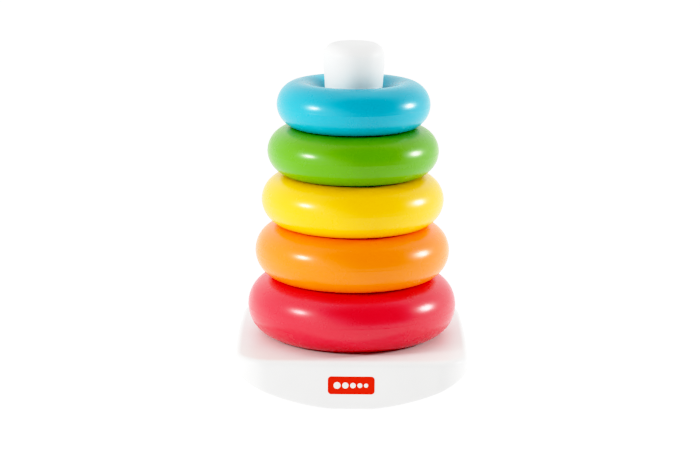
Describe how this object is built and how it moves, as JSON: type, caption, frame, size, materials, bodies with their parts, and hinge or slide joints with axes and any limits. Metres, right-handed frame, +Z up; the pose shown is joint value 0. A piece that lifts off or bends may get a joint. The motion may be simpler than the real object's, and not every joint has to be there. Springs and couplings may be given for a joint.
{
  "type": "stacking ring toy",
  "caption": "Stacking toy: hollow plastic rings of falling size on a tapered white post, standing on a rounded square base with a gently curved rocking underside.",
  "frame": {"origin": "on the table, at the middle of the base", "axes": "+Z up the post; -Y towards the labelled front; the base rocks from side to side, about Y"},
  "size_m": [0.1356, 0.1358, 0.201],
  "materials": {
    "base_plastic": "satin warm white, moulded",
    "post_plastic": "satin warm white, moulded",
    "red_plastic": "smooth satin red, coloured through",
    "orange_plastic": "smooth satin orange, coloured through",
    "yellow_plastic": "smooth satin yellow, coloured through",
    "green_plastic": "smooth satin green, coloured through",
    "blue_plastic": "smooth satin blue, coloured through",
    "label_film": "printed red film",
    "screw_steel": "zinc-plated"
  },
  "bodies": {
    "base": {"base_shell": "base_plastic", "rocker_plate": "base_plastic", "base_screws": "screw_steel", "post": "post_plastic", "front_label": "label_film"},
    "ring_red": {"ring_red": "red_plastic"},
    "ring_orange": {"ring_orange": "orange_plastic"},
    "ring_yellow": {"ring_yellow": "yellow_plastic"},
    "ring_green": {"ring_green": "green_plastic"},
    "ring_blue": {"ring_blue": "blue_plastic"}
  },
  "joints": [
    {"name": "ring_red_lift", "type": "slide", "parent": "base", "child": "ring_red", "axis": [0, 0, 1], "range_m": [0, 0.18]},
    {"name": "ring_orange_lift", "type": "slide", "parent": "ring_red", "child": "ring_orange", "axis": [0, 0, 1], "range_m": [0, 0.145]},
    {"name": "ring_yellow_lift", "type": "slide", "parent": "ring_orange", "child": "ring_yellow", "axis": [0, 0, 1], "range_m": [0, 0.115]},
    {"name": "ring_green_lift", "type": "slide", "parent": "ring_yellow", "child": "ring_green", "axis": [0, 0, 1], "range_m": [0, 0.085]},
    {"name": "ring_blue_lift", "type": "slide", "parent": "ring_green", "child": "ring_blue", "axis": [0, 0, 1], "range_m": [0, 0.06]}
  ]
}
